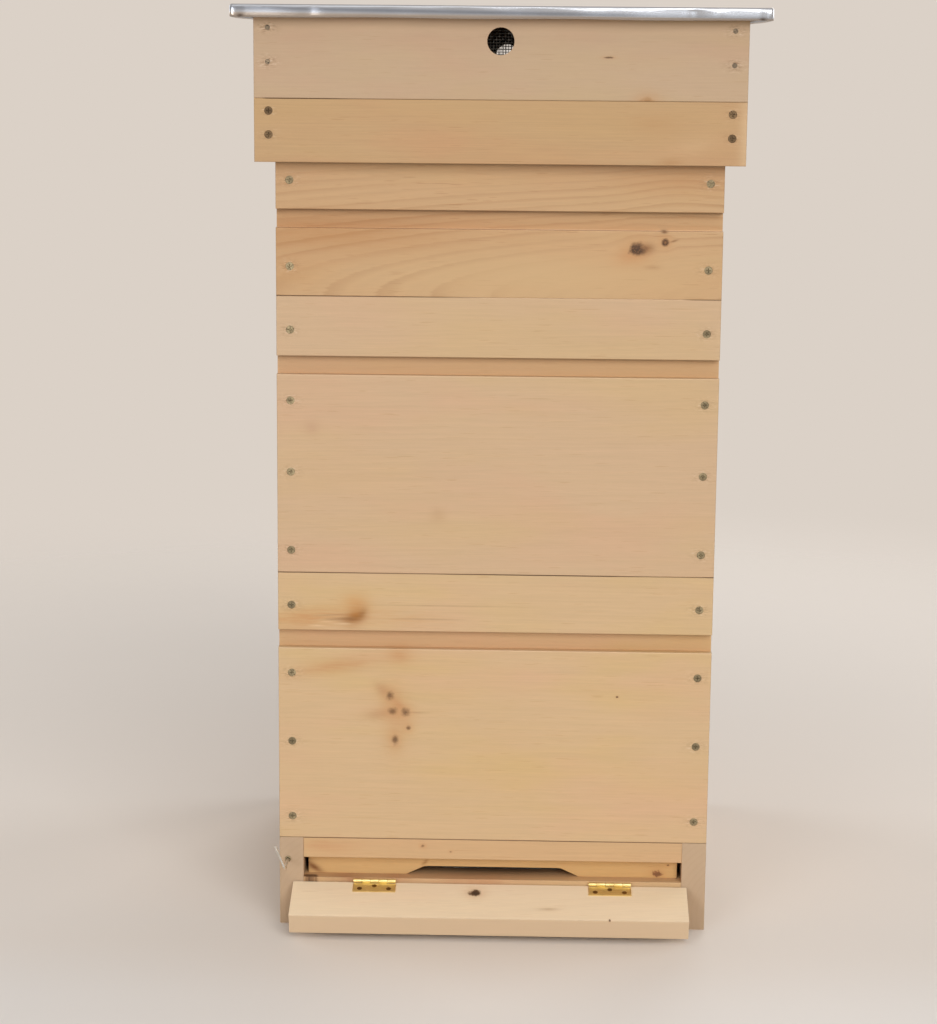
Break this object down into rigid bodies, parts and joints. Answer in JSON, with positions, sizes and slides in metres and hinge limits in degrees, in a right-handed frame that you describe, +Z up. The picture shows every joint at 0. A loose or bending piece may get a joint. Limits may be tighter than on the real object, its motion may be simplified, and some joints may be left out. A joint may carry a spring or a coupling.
{
  "type": "wooden beehive",
  "caption": "Stacked pine beehive with lift-off boxes, hanging frames, mesh floor, folding landing board, entrance block and flat metal-covered roof.",
  "frame": {"origin": "on the ground, in the middle of the hive's reach from the landing board to the back of the lid", "axes": "+Z up, +X to the right as seen from the entrance, +Y from the entrance to the back"},
  "size_m": [0.587, 0.604, 1.062],
  "materials": {
    "box_pine": "planed pale pine",
    "floor_pine": "planed pine",
    "eke_pine": "planed orange pine",
    "roof_pine": "planed greyish pine",
    "frame_wood": "sawn lime",
    "plywood": "plywood",
    "wax": "embossed beeswax",
    "brass": "dull brass",
    "hook_wire": "bright wire",
    "screws": "dulled zinc",
    "pale_nails": "galvanised",
    "galvanised_sheet": "galvanised sheet",
    "wire_mesh": "galvanised wire"
  },
  "bodies": {
    "floor": {"floor_left_runner": "floor_pine", "floor_right_runner": "floor_pine", "floor_front_rail": "floor_pine", "floor_sill": "floor_pine", "floor_back_rail": "floor_pine", "floor_side_battens": "floor_pine", "floor_mesh": "wire_mesh", "floor_screws": "screws", "hinge_fixed_leaves": "brass", "hinge_pins": "brass", "hinge_fixed_screws": "brass"},
    "landing": {"landing_board": "floor_pine", "hinge_moving_leaves": "brass", "hinge_board_screws": "brass"},
    "latch": {"latch_hook": "hook_wire"},
    "entrance": {"entrance_block": "floor_pine"},
    "tray": {"tray_panel": "plywood", "tray_handle": "floor_pine"},
    "lower_deep": {"lower_deep_front": "box_pine", "lower_deep_back": "box_pine", "lower_deep_left": "box_pine", "lower_deep_right": "box_pine", "lower_deep_screws": "screws", "lower_deep_top_bars": "frame_wood", "lower_deep_frame_bars": "frame_wood", "lower_deep_foundation": "wax"},
    "upper_deep": {"upper_deep_front": "box_pine", "upper_deep_back": "box_pine", "upper_deep_left": "box_pine", "upper_deep_right": "box_pine", "upper_deep_screws": "screws", "upper_deep_top_bars": "frame_wood", "upper_deep_frame_bars": "frame_wood", "upper_deep_foundation": "wax"},
    "super": {"super_front": "box_pine", "super_back": "box_pine", "super_left": "box_pine", "super_right": "box_pine", "super_screws": "screws", "super_top_bars": "frame_wood", "super_frame_bars": "frame_wood", "super_foundation": "wax"},
    "crown": {"crown_board": "plywood"},
    "plug": {"feed_plug": "plywood"},
    "eke": {"eke_front": "eke_pine", "eke_back": "eke_pine", "eke_left": "eke_pine", "eke_right": "eke_pine", "eke_screws": "screws"},
    "roof": {"roof_front": "roof_pine", "roof_back": "roof_pine", "roof_left": "roof_pine", "roof_right": "roof_pine", "roof_nails": "pale_nails", "roof_battens": "roof_pine", "roof_deck": "plywood", "roof_cover": "galvanised_sheet", "vent_mesh": "wire_mesh"}
  },
  "joints": [
    {"name": "landing_fold", "type": "hinge", "parent": "floor", "child": "landing", "pos_m": [0, -0.24427, 0.0547], "axis": [-1, 0, 0], "range_deg": [0, 108.8]},
    {"name": "latch_turn", "type": "hinge", "parent": "floor", "child": "latch", "pos_m": [-0.24, -0.24147, 0.0795], "axis": [0, 1, 0], "range_deg": [0, 112.8]},
    {"name": "entrance_slide", "type": "slide", "parent": "floor", "child": "entrance", "axis": [0, 1, 0], "range_m": [-0.06, 0]},
    {"name": "tray_slide", "type": "slide", "parent": "floor", "child": "tray", "axis": [0, 1, 0], "range_m": [0, 0.42]},
    {"name": "lower_deep_lift", "type": "slide", "parent": "floor", "child": "lower_deep", "axis": [0, 0, 1], "range_m": [0, 0.2]},
    {"name": "upper_deep_lift", "type": "slide", "parent": "lower_deep", "child": "upper_deep", "axis": [0, 0, 1], "range_m": [0, 0.2]},
    {"name": "super_lift", "type": "slide", "parent": "upper_deep", "child": "super", "axis": [0, 0, 1], "range_m": [0, 0.2]},
    {"name": "crown_lift", "type": "slide", "parent": "super", "child": "crown", "axis": [0, 0, 1], "range_m": [0, 0.12]},
    {"name": "plug_lift", "type": "slide", "parent": "crown", "child": "plug", "axis": [0, 0, 1], "range_m": [0, 0.04]},
    {"name": "eke_lift", "type": "slide", "parent": "crown", "child": "eke", "axis": [0, 0, 1], "range_m": [0, 0.12]},
    {"name": "roof_lift", "type": "slide", "parent": "eke", "child": "roof", "axis": [0, 0, 1], "range_m": [0, 0.15]}
  ]
}
